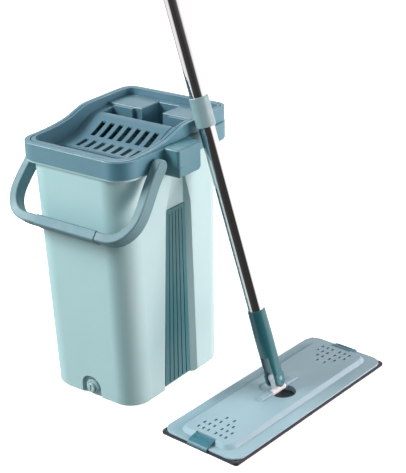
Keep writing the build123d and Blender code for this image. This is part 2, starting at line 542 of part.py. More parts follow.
# underside relief: a shallow tray so the moulding is a shell
und = prism(PANEL_L - 6, PANEL_W - 6, 9.0, PLATE_Z0 - 1, PANEL_Z1 - 2.6)
for t in (1, -1):
    und = und - cyl(WELL_R + 2.2, (0, t * WELL_Y, 0), (0, t * WELL_Y, 40))
for s in (1, -1):
    x0_, x1_ = sorted((s * 146.8, s * 172.0))
    und = und - box(x0_, x1_, -CLIP_W / 2 - 3.4, CLIP_W / 2 + 3.4, 0, 40)
for xx in (-105, -70, -35, 35, 70, 105):
    und = und - box(xx - 0.9, xx + 0.9, -60, 60, 0, 40)
for yy in (-22, 22):
    und = und - box(-160, 160, yy - 0.9, yy + 0.9, 0, 40)
plate = plate - und
# axle cradle: low lugs that fade into the panel, closed by caps over the pin
RAIL_H = 4.4
LUG0, LUG1, LUG2, LUG_TOP = 15.0, 37.0, 43.5, TILT_Z + 3.4


def lug(s, z0, z1):
    pts = [(LUG0, PLATE_Z0 + 0.6), (LUG0, LUG_TOP), (LUG1, LUG_TOP), (LUG2, PANEL_Z1 - 0.3), (LUG2, PLATE_Z0 + 0.6)]
    f = make_face(Polyline(*pts, close=True))
    r_ = Pos(0, RAIL_H, 0) * extrude(Plane.XZ * f, 2 * RAIL_H)
    te = r_.edges().filter_by(lambda e: e.center().Z > LUG_TOP - 0.1 and abs(abs(e.center().Y) - RAIL_H) < 0.01)
    te2 = r_.edges().filter_by(lambda e: abs(abs(e.center().Y) - RAIL_H) < 0.01 and PANEL_Z1 < e.center().Z < LUG_TOP - 0.1 and e.center().X > LUG1)
    r_ = try_fillet(r_, te + te2, 1.3)
    r_ = r_ & box(0, 60, -10, 10, z0, z1)
    return r_ if s > 0 else mirror(r_, Plane.YZ)


rail = None
for s in (1, -1):
    plate = plate + lug(s, 0, TILT_Z - 0.2)
    a, b = sorted((s * LUG0, s * (LUG2 + 0.05)))
    plate = plate - box(a, b, -RAIL_H - 0.05, RAIL_H + 0.05, TILT_Z - 0.15, 60)
    r_ = lug(s, TILT_Z - 0.1, 60)
    rail = r_ if rail is None else rail + r_
pinhole = cyl(TILT_PIN_R, (-40, 0, TILT_Z), (40, 0, TILT_Z))
plate = plate - pinhole
rail = rail - pinhole
save("axle_rail", at_head(rail))
save("tilt_pin", at_head(cyl(TILT_PIN_R, (-40, 0, TILT_Z), (40, 0, TILT_Z))))

# pad clips: hinged at the inner end, hook over the plate's short edge
CLIP_HX, CLIP_HZ = 152.2, 10.6
CPIN_R, CBORE_R = 1.2, 1.25
cp = None
for s in (1, -1):
    p_ = cyl(CPIN_R, (s * CLIP_HX, -CLIP_W / 2 - 2.6, CLIP_HZ), (s * CLIP_HX, CLIP_W / 2 + 2.6, CLIP_HZ))
    cp = p_ if cp is None else cp + p_
for s in (1, -1):
    plate = plate - cyl(CPIN_R, (s * CLIP_HX, -CLIP_W / 2 - 2.6, CLIP_HZ), (s * CLIP_HX, CLIP_W / 2 + 2.6, CLIP_HZ))
save("mop_plate", at_head(plate))
save("clip_pins", at_head(cp))


def clip(s):
    prof = [(CLIP_HX - 1.6, 9.4), (CLIP_HX - 1.6, 12.2), (CLIP_HX + 0.2, 13.4), (156.5, 13.2), (163.5, 11.6), (168.2, 9.4), (169.8, 7.2),
            (169.8, 4.6), (168.15, 4.6), (168.1, 7.0), (166.8, 8.5), (162.5, 9.6), (156.0, 9.9), (154.4, 9.4)]
    f = make_face(Polyline(*prof, close=True))
    c_ = Pos(0, CLIP_W / 2, 0) * extrude(Plane.XZ * f, CLIP_W)
    ed = c_.edges().filter_by(Axis.Y).filter_by(lambda e: e.center().Z > 9.3 and e.center().X > CLIP_HX - 1 and e.center().X > 156.2)
    c_ = try_fillet(c_, ed, 0.8)
    # shallow finger recess in the top, leaving a raised frame
    rf = make_face(Polyline((157.2, 12.2), (163.0, 10.85), (163.0, 15.0), (157.2, 15.0), close=True))
    c_ = c_ - Pos(0, CLIP_W / 2 - 3.2, 0) * extrude(Plane.XZ * rf, CLIP_W - 6.4)
    c_ = c_ - cyl(CBORE_R, (CLIP_HX, -40, CLIP_HZ), (CLIP_HX, 40, CLIP_HZ))
    return c_ if s > 0 else mirror(c_, Plane.YZ)


save("pad_clip_far", at_head(clip(1)))
save("pad_clip_near", at_head(clip(-1)))

# ---------------------------------------------------------------- swivel and pole
CROSS_LOC = HL * Location((0, 0, TILT_Z)) * Location((0, 0, 0), (-TILT_A, 0, 0))
POLE_LOC = CROSS_LOC * Location((0, 0, YOKE_UP)) * Location((0, 0, 0), (0, SWING_A, 0))

cr = cyl(BARREL_R, (-14.7, 0, 0), (14.7, 0, 0))
neck = box(-6.2, 6.2, -4.3, 4.3, 0, YOKE_UP)
knk = cyl(6.2, (0, -6.6, YOKE_UP), (0, 6.6, YOKE_UP))
cross = cr + neck + knk
cross = cross - cyl(TILT_BORE_R, (-20, 0, 0), (20, 0, 0)) - cyl(YOKE_BORE_R, (0, -20, YOKE_UP), (0, 20, YOKE_UP))
save("swivel_cross", CROSS_LOC * cross)

PR_T0, PR_T1 = 7.0, 10.8       # fork prong inner and outer faces
sl = loft([rrect(18.0, 2 * PR_T1, 5.0, 6.0), rrect(21.4, 22.6, 8.0, 24.0)])
sl1 = loft([rrect(21.4, 22.6, 8.0, 24.0), rrect(25.2, 25.2, 12.4, 58.0)])
sl2 = loft([rrect(25.2, 25.2, 12.4, 58.0), rrect(24.2, 24.2, 12.0, SLEEVE_Z1 - 2)])
sl3 = loft([rrect(24.2, 24.2, 12.0, SLEEVE_Z1 - 2), rrect(23.2, 23.2, 11.5, SLEEVE_Z1)])
fork = None
for s in (1, -1):
    a, b = sorted((s * PR_T0, s * PR_T1))
    p_ = box(-9.0, 9.0, a, b, 9.0 - PRONG_END, 6.2) + cyl(9.0, (0, a, 9.0 - PRONG_END), (0, b, 9.0 - PRONG_END))
    p_ = try_fillet(p_, [e for e in p_.edges() if abs(abs(e.center().Y) - PR_T1) < 0.05 and e.center().Z < 6.0], 1.5)
    fork = p_ if fork is None else fork + p_
sleeve = sl + sl1 + sl2 + sl3 + fork
sleeve = sleeve - cyl(TUBE_R + 0.02, (0, 0, 45.0), (0, 0, 120))
sleeve = sleeve - cyl(YOKE_PIN_R, (0, -30, 0), (0, 30, 0))
slotcut = box(-20, 20, -PR_T0, PR_T0, -20, FORK_TOP)
sleeve = sleeve - slotcut
save("yoke_sleeve", POLE_LOC * sleeve)
yp = cyl(YOKE_PIN_R, (0, -PR_T1 - 0.3, 0), (0, PR_T1 + 0.3, 0))
save("yoke_pin", POLE_LOC * yp)
def tube_section(a, b):
    t = cyl(TUBE_R, (0, 0, a), (0, 0, b))
    return t - cyl(TUBE_R - TUBE_W, (0, 0, a - 1), (0, 0, b + 1))


save("pole_tube_1", POLE_LOC * tube_section(46.0, JOINTS_S[0] - 0.05))
save("pole_tube_2", POLE_LOC * tube_section(JOINTS_S[0] + 0.05, JOINTS_S[1] - 0.05))
save("pole_tube_3", POLE_LOC * tube_section(JOINTS_S[1] + 0.05, JOINTS_S[2] - 0.05))
save("pole_tube_4", POLE_LOC * tube_section(JOINTS_S[2] + 0.05, POLE_TOP - 40))
for i, s in enumerate(JOINTS_S):
    c_ = cyl(COLLAR_R, (0, 0, s - COLLAR_L / 2), (0, 0, s + COLLAR_L / 2))
    c_ = try_fillet(c_, c_.edges(), 0.9)
    c_ = c_ - cyl(TUBE_R + 0.01, (0, 0, s - 60), (0, 0, s + 60))
    save("joint_collar_%d" % (i + 1), POLE_LOC * c_)
    f_ = cyl(TUBE_R - TUBE_W - 0.02, (0, 0, s - 24), (0, 0, s + 24)) - cyl(6.5, (0, 0, s - 30), (0, 0, s + 30))
    save("screw_ferrule_%d" % (i + 1), POLE_LOC * f_)

# top grip with hanging eye
G0, G1 = POLE_TOP - 150.0, POLE_TOP
g1 = loft([Pos(0, 0, G0) * Circle(12.6), Pos(0, 0, G0 + 6) * Circle(13.6)])
g2 = loft([Pos(0, 0, G0 + 6) * Circle(13.6), Pos(0, 0, G0 + 70) * Circle(12.8)])
g3 = loft([Pos(0, 0, G0 + 70) * Circle(12.8), Pos(0, 0, G1 - 36) * Circle(14.2)])
g4 = loft([Pos(0, 0, G1 - 36) * Circle(14.2), Pos(0, 0, G1 - 2) * Ellipse(13.0, 7.2)])
tg = g1 + g2 + g3 + g4
te = [e for e in tg.edges() if e.center().Z > G1 - 2.5]
tg = try_fillet(tg, te, 2.0)
HANG_R = 5.0
HANG_Z = G1 - 15.0
tg = tg - cyl(HANG_R, (0, -30, HANG_Z), (0, 30, HANG_Z))
tg = tg - cyl(TUBE_R + 0.02, (0, 0, G0 - 5), (0, 0, POLE_TOP - 40))
save("top_grip", POLE_LOC * tg)

if __name__ == "__main__":
    def v(loc, p=(0, 0, 0)):
        q = (loc * Location(p)).position
        return tuple(round(c, 4) for c in (q.X, q.Y, q.Z))

    def ax_(loc, d):
        a = Vector(*v(loc, d)) - Vector(*v(loc))
        a = a.normalized()
        return tuple(round(c, 6) for c in (a.X, a.Y, a.Z))
    print("tilt hinge", v(HL, (0, 0, TILT_Z)), "axis", ax_(HL, (100, 0, 0)))
    print("swing hinge", v(POLE_LOC), "axis", ax_(POLE_LOC, (0, 100, 0)))
    print("pole dir", ax_(POLE_LOC, (0, 0, 100)))
    for s, n in ((1, "far"), (-1, "near")):
        print("clip", n, v(HL, (s * CLIP_HX, 0, CLIP_HZ)), "axis", ax_(HL, (0, 100, 0)))
    print("hang eye", v(POLE_LOC, (0, 0, HANG_Z)), "axis", ax_(POLE_LOC, (0, 100, 0)))
    print("bail pivot", (0, BAIL_PY, BAIL_PZ))
    print("roller", ROLL_Y, ROLL_Z)
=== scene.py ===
import math, random
import bpy, bmesh
from mathutils import Vector, Matrix, noise


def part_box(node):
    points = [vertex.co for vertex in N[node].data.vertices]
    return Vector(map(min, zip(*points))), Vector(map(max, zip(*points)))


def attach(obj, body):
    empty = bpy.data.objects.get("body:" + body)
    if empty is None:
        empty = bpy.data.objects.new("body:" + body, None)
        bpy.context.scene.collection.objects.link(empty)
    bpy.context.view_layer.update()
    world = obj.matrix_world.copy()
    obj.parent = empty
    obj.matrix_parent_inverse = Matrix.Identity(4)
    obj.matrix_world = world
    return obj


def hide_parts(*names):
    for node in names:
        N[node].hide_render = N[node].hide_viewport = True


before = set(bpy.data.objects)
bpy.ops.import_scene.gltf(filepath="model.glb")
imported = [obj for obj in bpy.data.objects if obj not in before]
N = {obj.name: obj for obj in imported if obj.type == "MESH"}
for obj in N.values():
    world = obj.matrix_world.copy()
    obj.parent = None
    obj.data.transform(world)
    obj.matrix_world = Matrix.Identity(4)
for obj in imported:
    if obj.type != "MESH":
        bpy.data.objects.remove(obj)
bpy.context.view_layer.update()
random.seed(7)


# ------------------------------------------------------------------ materials
def lin(c):
    return tuple(((v / 255.0) / 12.92 if v / 255.0 <= 0.04045 else ((v / 255.0 + 0.055) / 1.055) ** 2.4) for v in c) + (1.0,)


def scale_rgb(c, k):
    return tuple(min(1.0, max(0.0, x * k)) for x in c[:3]) + (1.0,)


class Mat:
    """Small helper around one node tree with a Principled shader."""

    def __init__(self, name):
        self.m = bpy.data.materials.new(name)
        self.m.use_nodes = True
        self.nt = self.m.node_tree
        for n in list(self.nt.nodes):
            self.nt.nodes.remove(n)
        out = self.new("ShaderNodeOutputMaterial")
        self.b = self.new("ShaderNodeBsdfPrincipled")
        self.link(self.b.outputs["BSDF"], out.inputs["Surface"])
        self.tc = self.new("ShaderNodeTexCoord").outputs["Object"]

    def new(self, t):
        return self.nt.nodes.new(t)

    def link(self, a, b):
        self.nt.links.new(a, b)

    def noise(self, scale, detail=3.0, rough=0.5, vec=None, dist=0.0):
        n = self.new("ShaderNodeTexNoise")
        n.inputs["Scale"].default_value = scale
        n.inputs["Detail"].default_value = detail
        n.inputs["Roughness"].default_value = rough
        n.inputs["Distortion"].default_value = dist
        self.link(vec or self.tc, n.inputs["Vector"])
        return n.outputs["Fac"]

    def mapping(self, scale=(1, 1, 1), rot=(0, 0, 0), loc=(0, 0, 0)):
        mp = self.new("ShaderNodeMapping")
        mp.inputs["Scale"].default_value = scale
        mp.inputs["Rotation"].default_value = rot
        mp.inputs["Location"].default_value = loc
        self.link(self.tc, mp.inputs["Vector"])
        return mp.outputs["Vector"]

    def rng(self, v, a, b, c, d, clamp=True):
        r = self.new("ShaderNodeMapRange")
        r.clamp = clamp
        for k, x in zip(("From Min", "From Max", "To Min", "To Max"), (a, b, c, d)):
            r.inputs[k].default_value = x
        self.link(v, r.inputs["Value"])
        return r.outputs["Result"]

    def mix(self, f, a, b, mode="MIX"):
        m = self.new("ShaderNodeMix")
        m.data_type = "RGBA"
        m.blend_type = mode
        for sock, v in ((m.inputs[0], f), (m.inputs[6], a), (m.inputs[7], b)):
            if isinstance(v, bpy.types.NodeSocket):
                self.link(v, sock)
            else:
                sock.default_value = v
        return m.outputs[2]

    def math(self, op, a, b=0.0):
        m = self.new("ShaderNodeMath")
        m.operation = op
        for sock, v in ((m.inputs[0], a), (m.inputs[1], b)):
            if isinstance(v, bpy.types.NodeSocket):
                self.link(v, sock)
            else:
                sock.default_value = v
        return m.outputs[0]

    def edge(self, radius, lo=0.004, hi=0.12):
        """0 on open faces, 1 along sharp edges."""
        bv = self.new("ShaderNodeBevel")
        bv.samples = 4
        bv.inputs["Radius"].default_value = radius
        g = self.new("ShaderNodeNewGeometry")
        d = self.new("ShaderNodeVectorMath")
        d.operation = "DOT_PRODUCT"
        self.link(bv.outputs["Normal"], d.inputs[0])
        self.link(g.outputs["Normal"], d.inputs[1])
        return self.rng(d.outputs["Value"], 1.0 - lo, 1.0 - hi, 0.0, 1.0)

    def bump(self, *layers):
        nrm = None
        for h, strength, dist in layers:
            bp = self.new("ShaderNodeBump")
            bp.inputs["Strength"].default_value = strength
            bp.inputs["Distance"].default_value = dist
            self.link(h, bp.inputs["Height"])
            if nrm is not None:
                self.link(nrm, bp.inputs["Normal"])
            nrm = bp.outputs["Normal"]
        self.link(nrm, self.b.inputs["Normal"])


def plastic(name, rgb, rough=0.4, grain=0.10, grain_scale=1500.0, mottle=0.05, edge=0.16, sub=0.0, spec=0.5, coat=0.0, edge_r=0.0009):
    M_ = Mat(name)
    c = lin(rgb)
    big = M_.noise(7.0, 4.0, 0.6)
    mid = M_.noise(60.0, 3.0, 0.6)
    spk = M_.noise(420.0, 2.0, 0.7)
    col = M_.mix(M_.rng(big, 0.35, 0.65, 0, 1), scale_rgb(c, 1 - mottle), scale_rgb(c, 1 + mottle))
    col = M_.mix(M_.rng(mid, 0.4, 0.7, 0, 0.35), col, scale_rgb(c, 1 - 1.6 * mottle))
    col = M_.mix(M_.rng(spk, 0.62, 0.78, 0, 0.30), col, scale_rgb(c, 1 + 3.0 * mottle))
    # sharp edges are blended toward a paler tint: partly rubbed wear, partly a painted highlight along the edges
    if edge > 0:
        edge_wear_and_highlight = M_.math("MULTIPLY", M_.edge(edge_r), M_.rng(mid, 0.3, 0.6, 0.55, 1.0))
        pale_wear_highlight = tuple(x + (1 - x) * 0.30 for x in c[:3]) + (1,)
        col = M_.mix(M_.math("MULTIPLY", edge_wear_and_highlight, edge), col, pale_wear_highlight)
    M_.link(col, M_.b.inputs["Base Color"])
    M_.link(M_.rng(M_.noise(24.0, 4.0, 0.65), 0.3, 0.7, rough * 0.86, rough * 1.16), M_.b.inputs["Roughness"])
    M_.b.inputs["Specular IOR Level"].default_value = spec
    if coat:
        M_.b.inputs["Coat Weight"].default_value = coat
        M_.b.inputs["Coat Roughness"].default_value = 0.12
    if sub:
        M_.b.inputs["Subsurface Weight"].default_value = sub
        M_.b.inputs["Subsurface Radius"].default_value = (0.004, 0.006, 0.007)
        M_.b.inputs["Subsurface Scale"].default_value = 0.6
    M_.bump((M_.noise(grain_scale, 2.0, 0.6), grain, 0.00012), (M_.noise(38.0, 2.0, 0.5), 0.05, 0.0008))
    return M_.m


def clear(name, rgb, rough=0.16, trans=0.7):
    """Translucent plastic: the tube shows through it."""
    M_ = Mat(name)
    c = lin(rgb)
    big = M_.noise(40.0, 3.0, 0.6)
    M_.link(M_.mix(M_.rng(big, 0.35, 0.65, 0, 1), scale_rgb(c, 0.97), scale_rgb(c, 1.02)), M_.b.inputs["Base Color"])
    M_.link(M_.rng(M_.noise(70.0, 4.0, 0.65), 0.3, 0.7, rough * 0.8, rough * 1.3), M_.b.inputs["Roughness"])
    M_.b.inputs["IOR"].default_value = 1.42
    M_.b.inputs["Transmission Weight"].default_value = trans
    M_.bump((M_.noise(900.0, 2.0, 0.6), 0.02, 0.00005), (M_.noise(60.0, 2.0, 0.5), 0.02, 0.0003))
    return M_.m


def metal(name, rgb, rough, brushed=0.0, axis=(1, 1, 1)):
    M_ = Mat(name)
    c = lin(rgb)
    v = M_.mapping(scale=axis)
    st = M_.noise(900.0, 3.0, 0.6, v)
    M_.link(M_.mix(M_.rng(M_.noise(30.0, 4.0, 0.6), 0.35, 0.7, 0, 1), scale_rgb(c, 0.96), scale_rgb(c, 1.03)), M_.b.inputs["Base Color"])
    M_.b.inputs["Metallic"].default_value = 1.0
    M_.link(M_.rng(M_.math("ADD", M_.noise(18.0, 4.0, 0.7), M_.math("MULTIPLY", st, 0.35)), 0.45, 0.95, rough * 0.8, rough * 1.35), M_.b.inputs["Roughness"])
    if brushed:
        M_.bump((st, brushed, 0.00004))
    return M_.m


def rubber(name, rgb, rough=0.75):
    M_ = Mat(name)
    c = lin(rgb)
    M_.link(M_.mix(M_.rng(M_.noise(90.0, 4.0, 0.65), 0.35, 0.7, 0, 1), scale_rgb(c, 0.85), scale_rgb(c, 1.25)), M_.b.inputs["Base Color"])
    M_.link(M_.rng(M_.noise(50.0), 0.3, 0.7, rough * 0.9, min(1.0, rough * 1.1)), M_.b.inputs["Roughness"])
    M_.bump((M_.noise(1300.0, 3.0, 0.7), 0.25, 0.0002))
    return M_.m


def weave(name, rgb, rough=0.85, pitch=0.0011, sheen=0.25, strength=0.6):
    """Woven tape: two crossed wave sets drive the bump and the colour, which is darker where the weave is low
    (painted shade between threads), with lighter fluff.
    """
    M_ = Mat(name)
    c = lin(rgb)
    hs = []
    for rot in (math.radians(41), math.radians(-49)):
        w = M_.new("ShaderNodeTexWave")
        w.wave_profile = "SIN"
        w.inputs["Scale"].default_value = 1.0 / (pitch * 2 * math.pi) * 2
        w.inputs["Distortion"].default_value = 0.6
        w.inputs["Detail"].default_value = 2.0
        M_.link(M_.mapping(rot=(rot * 0.2, rot * 0.3, rot)), w.inputs["Vector"])
        hs.append(w.outputs["Fac"])
    h = M_.math("MAXIMUM", hs[0], hs[1])
    fl = M_.noise(700.0, 4.0, 0.75)
    # colour darkens where the weave height is low: painted shade in the gaps between threads
    col = M_.mix(M_.rng(h, 0.1, 0.9, 0, 1), scale_rgb(c, 0.45), scale_rgb(c, 1.2))
    col = M_.mix(M_.rng(fl, 0.5, 0.8, 0, 0.5), col, scale_rgb(c, 2.2))
    M_.link(col, M_.b.inputs["Base Color"])
    M_.link(M_.rng(fl, 0.3, 0.7, rough * 0.92, min(1.0, rough * 1.08)), M_.b.inputs["Roughness"])
    M_.b.inputs["Sheen Weight"].default_value = sheen
    M_.b.inputs["Sheen Roughness"].default_value = 0.45
    M_.bump((h, strength, 0.0004), (fl, 0.4, 0.0003))
    return M_.m


def chenille(name):
    M_ = Mat(name)
    n1 = M_.noise(160.0, 4.0, 0.7)
    n2 = M_.noise(900.0, 4.0, 0.8)
    # colour follows the bump noise n1 and is dark grey in its low parts: painted shade between the nubs
    col = M_.mix(M_.rng(n1, 0.40, 0.58, 0, 1), lin((120, 120, 124)), lin((214, 212, 212)))
    col = M_.mix(M_.rng(n2, 0.45, 0.75, 0, 0.7), col, lin((238, 236, 236)))
    M_.link(col, M_.b.inputs["Base Color"])
    M_.b.inputs["Roughness"].default_value = 0.95
    M_.b.inputs["Sheen Weight"].default_value = 0.5
    M_.b.inputs["Sheen Roughness"].default_value = 0.5
    M_.bump((n1, 0.8, 0.0009), (n2, 0.7, 0.0005))
    return M_.m


M = {
    "bucket": plastic("m_bucket", (160, 196, 199), rough=0.33, grain=0.04, mottle=0.018, edge=0.25, sub=0.12, spec=0.45),
    "cover": plastic("m_cover", (71, 120, 136), rough=0.45, spec=1.0, grain=0.16, mottle=0.05, edge=0.28),
    # the housing reuses the cover plastic, darkened a little: painted shade for the shadow on its front and top
    "housing": plastic("m_housing_painted_shade", (68, 116, 129), rough=0.45, spec=0.8, grain=0.16, mottle=0.05, edge=0.26),
    "insert": plastic("m_insert", (68, 110, 127), rough=0.45, spec=0.9, grain=0.18, mottle=0.05, edge=0.26),
    "dark": plastic("m_dark", (34, 66, 74), rough=0.5, grain=0.16),
    "rib": plastic("m_rib", (37, 100, 108), rough=0.4, grain=0.10, edge=0.22),
    "bail": plastic("m_bail", (91, 126, 134), rough=0.52, spec=0.4, grain=0.14, edge=0.24),
    "grip": plastic("m_grip", (87, 125, 136), rough=0.55, spec=0.4, grain=0.26, edge=0.24),
    "plate": plastic("m_plate", (134, 165, 176), rough=0.50, grain=0.06, mottle=0.02, edge=0.20, sub=0.05),
    "clip": plastic("m_clip", (50, 108, 122), rough=0.36, grain=0.08, edge=0.30),
    "sleeve": plastic("m_sleeve", (41, 97, 106), rough=0.30, grain=0.05, edge=0.2, coat=0.2),
    "collar": clear("m_collar", (150, 184, 189), rough=0.16, trans=0.30),
    "pin": plastic("m_pin", (112, 150, 156), rough=0.35, grain=0.05),
    "plug": plastic("m_plug", (150, 180, 184), rough=0.25, grain=0.04, mottle=0.02, edge=0.30, sub=0.3, coat=0.3),
    "cross": plastic("m_cross", (198, 206, 210), rough=0.35, grain=0.05, mottle=0.02),
    "roller": plastic("m_roller", (190, 200, 202), rough=0.4, grain=0.05, mottle=0.02),
    "rubber": rubber("m_rubber", (44, 52, 54)),
    "hook": weave("m_hook", (26, 29, 32), pitch=0.0016, strength=0.9),
    "binding": weave("m_binding", (36, 41, 50), pitch=0.0010),
    "backing": weave("m_backing", (48, 66, 74), pitch=0.0014),
    "pile": chenille("m_pile"),
    "thread": weave("m_thread", (70, 76, 84), pitch=0.0006),
    "steel": metal("m_steel", (196, 196, 198), 0.28, brushed=0.2),
    "chrome": metal("m_chrome", (236, 233, 233), 0.075, brushed=0.02, axis=(1.0, 1.0, 0.03)),
}
use = {"bucket_body": "bucket", "rib_panel_right": "rib", "rib_panel_left": "rib", "drain_grommet": "rubber", "drain_plug": "plug",
       "top_cover": "cover", "wash_frame": "insert", "washboard": "insert", "wringer_deck": "insert", "roller_pins": "steel",
       "roller_right": "roller", "roller_left": "roller", "scraper_holder": "dark", "scraper_lip": "rubber",
       "side_housing_right": "housing", "bail_frame": "bail", "bail_grip": "grip", "bail_studs": "dark",
       "deck_screws": "steel", "mop_pad": "backing", "hook_strips": "hook", "mop_plate": "plate", "axle_rail": "plate", "tilt_pin": "steel",
       "clip_pins": "steel", "pad_clip_far": "clip", "pad_clip_near": "clip", "swivel_cross": "cross", "yoke_sleeve": "sleeve",
       "yoke_pin": "pin", "top_grip": "sleeve"}
for n, o in N.items():
    key = use.get(n)
    if key is None:
        key = "chrome" if n.startswith("pole_tube") else "collar" if n.startswith("joint_collar") else "dark"
    o.data.materials.clear()
    o.data.materials.append(M[key])


# ------------------------------------------------------------------ mop pad
def new_obj(name, bm, mats, smooth=True):
    me = bpy.data.meshes.new(name)
    bm.normal_update()
    bm.to_mesh(me)
    bm.free()
    for p in me.polygons:
        p.use_smooth = smooth
    ob = bpy.data.objects.new(name, me)
    bpy.context.scene.collection.objects.link(ob)
    for m in mats:
        ob.data.materials.append(M[m])
    return ob


# the pad's own frame, read off the hook strips and the pad's box: its long side runs from near to far
A = math.radians(86.1)
plo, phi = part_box("mop_pad")
PC = Vector(((plo[0] + phi[0]) / 2, (plo[1] + phi[1]) / 2, 0.0))
EX = Vector((math.cos(A), math.sin(A), 0.0))
EY = Vector((-math.sin(A), math.cos(A), 0.0))
HLX, HWY, RC = 0.1680, 0.0635, 0.005      # half length, half width, corner radius of the pad
ZT = 0.0050


def at(x, y, z):
    return PC + EX * x + EY * y + Vector((0, 0, z))


def outline(off, step=0.003):
    """Points of the pad's outline, inset by off, evenly spaced, with outward normals."""
    hx, hy, r = HLX - off, HWY - off, max(RC - off, 0.002)
    pts = []
    for cx, cy, a0 in ((hx - r, hy - r, 0), (-(hx - r), hy - r, 90), (-(hx - r), -(hy - r), 180), (hx - r, -(hy - r), 270)):
        for k in range(13):
            a = math.radians(a0 + 90 * k / 12)
            pts.append((cx + r * math.cos(a), cy + r * math.sin(a), math.cos(a), math.sin(a)))
    pts.append(pts[0])
    out = []
    for p, q in zip(pts[:-1], pts[1:]):
        d = math.hypot(q[0] - p[0], q[1] - p[1])
        n = max(1, int(round(d / step)))
        for i in range(n):
            t = i / n
            out.append(tuple(p[j] + (q[j] - p[j]) * t for j in range(4)))
    return out


def make_binding():
    """Folded tape sewn round the pad's edge: soft rounded section with small puckers."""
    bm = bmesh.new()
    path = outline(0.0024, 0.0016)
    m = len(path)
    K = 16
    rings = []
    s = 0.0
    for i, (x, y, nx, ny) in enumerate(path):
        if i:
            s += math.hypot(x - path[i - 1][0], y - path[i - 1][1])
        pk = 0.00016 * math.sin(s / 0.0042 * 2 * math.pi) + 0.00022 * noise.noise(Vector((x * 60, y * 60, 3.1)))
        ring = []
        for k in range(K):
            a = 2 * math.pi * k / K
            ca, sa = math.cos(a), math.sin(a)
            ex = 0.62
            u = math.copysign(abs(ca) ** ex, ca) * (0.0024 + pk)
            v = math.copysign(abs(sa) ** ex, sa) * (0.00272 + 0.5 * pk)
            ring.append(bm.verts.new(at(x + nx * u, y + ny * u, 0.0029 + v)))
        rings.append(ring)
    for i in range(m):
        a, b = rings[i], rings[(i + 1) % m]
        for k in range(K):
            bm.faces.new((a[k], b[k], b[(k + 1) % K], a[(k + 1) % K]))
    bmesh.ops.recalc_face_normals(bm, faces=bm.faces)
    return new_obj("pad_binding", bm, ["binding"])


def make_stitches():
    """Row of lock stitches along the binding's upper shoulder."""
    bm = bmesh.new()
    for off, z, tilt in ((0.0040, 0.00555, 0.0), ):
        path = outline(off, 0.0005)
        total = len(path)
        i = 0
        while i < total - 6:
            seg = path[i:i + 5]
            K = 6
            prev = None
            L = len(seg)
            for j, (x, y, nx, ny) in enumerate(seg):
                t = j / (L - 1)
                rr = 0.00026 * math.sin(math.pi * (0.12 + 0.76 * t))
                zz = z + 0.00012 * math.sin(math.pi * t)
                ring = [bm.verts.new(at(x + nx * rr * math.cos(2 * math.pi * k / K), y + ny * rr * math.cos(2 * math.pi * k / K), zz + rr * math.sin(2 * math.pi * k / K))) for k in range(K)]
                if prev:
                    for k in range(K):
                        bm.faces.new((prev[k], ring[k], ring[(k + 1) % K], prev[(k + 1) % K]))
                else:
                    bm.faces.new(ring[::-1])
                prev = ring
            bm.faces.new(prev)
            i += 7
    bmesh.ops.recalc_face_normals(bm, faces=bm.faces)
    return new_obj("pad_stitching", bm, ["thread"])


def make_core():
    """The pad's body: backing on top, dense pile of chenille nubs below."""
    bm = bmesh.new()
    off = 0.0030
    nx, ny = 168, 64
    hx, hy = HLX - off, HWY - off
    r = RC - off + 0.002
    top, bot = [], []
    for i in range(nx + 1):
        rt, rb = [], []
        for j in range(ny + 1):
            u, v = -1 + 2 * i / nx, -1 + 2 * j / ny
            x, y = u * hx, v * hy
            # pull the grid's corners in to the rounded outline
            cx, cy = hx - r, hy - r
            if abs(x) > cx and abs(y) > cy:
                dx, dy = abs(x) - cx, abs(y) - cy
                d = math.hypot(dx, dy)
                m_ = max(dx, dy)
                k = m_ / d if d > 0 else 1.0
                x = math.copysign(cx + dx * k, x)
                y = math.copysign(cy + dy * k, y)
            e = min(hx - abs(x), hy - abs(y))
            q = min(1.0, max(0.0, e / 0.006))
            q = q * q * (3 - 2 * q)
            n_ = noise.noise(Vector((x * 45, y * 45, 0)))
            zt = 0.0043 + 0.00055 * q + 0.00010 * n_
            # nubs: short fat chenille fingers in staggered rows
            p = 0.0052
            jj = round(y / (p * 0.866))
            ox = (jj % 2) * p / 2
            fx = (x - ox) / p
            ddx = (fx - round(fx)) * p
            ddy = y - jj * p * 0.866
            rr = math.hypot(ddx, ddy) / (p * 0.5)
            nub = math.sqrt(max(0.0, 1 - min(1.0, rr) ** 2))
            zb = 0.0018 - 0.0014 * nub * (0.6 + 0.4 * noise.noise(Vector((round(fx) * 3.7, jj * 2.3, 5.0)))) - 0.0002 * n_
            zb = 0.0026 + (max(0.00006, zb) - 0.0026) * q
            rt.append(bm.verts.new(at(x, y, zt)))
            rb.append(bm.verts.new(at(x, y, zb)))
        top.append(rt)
        bot.append(rb)
    for i in range(nx):
        for j in range(ny):
            f = bm.faces.new((top[i][j], top[i + 1][j], top[i + 1][j + 1], top[i][j + 1]))
            f.material_index = 0
            f = bm.faces.new((bot[i][j], bot[i][j + 1], bot[i + 1][j + 1], bot[i + 1][j]))
            f.material_index = 1
    rim = []
    for i in range(nx):
        rim.append((i, 0, i + 1, 0))
        rim.append((i + 1, ny, i, ny))
    for j in range(ny):
        rim.append((nx, j, nx, j + 1))
        rim.append((0, j + 1, 0, j))
    for a, b, c, d in rim:
        f = bm.faces.new((top[a][b], bot[a][b], bot[c][d], top[c][d]))
        f.material_index = 0
    bmesh.ops.recalc_face_normals(bm, faces=bm.faces)
    return new_obj("pad_core", bm, ["backing", "pile"])


core = make_core()
binding = make_binding()
stitch = make_stitches()
for o in (core, binding, stitch):
    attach(o, "mop_head")
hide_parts("mop_pad")

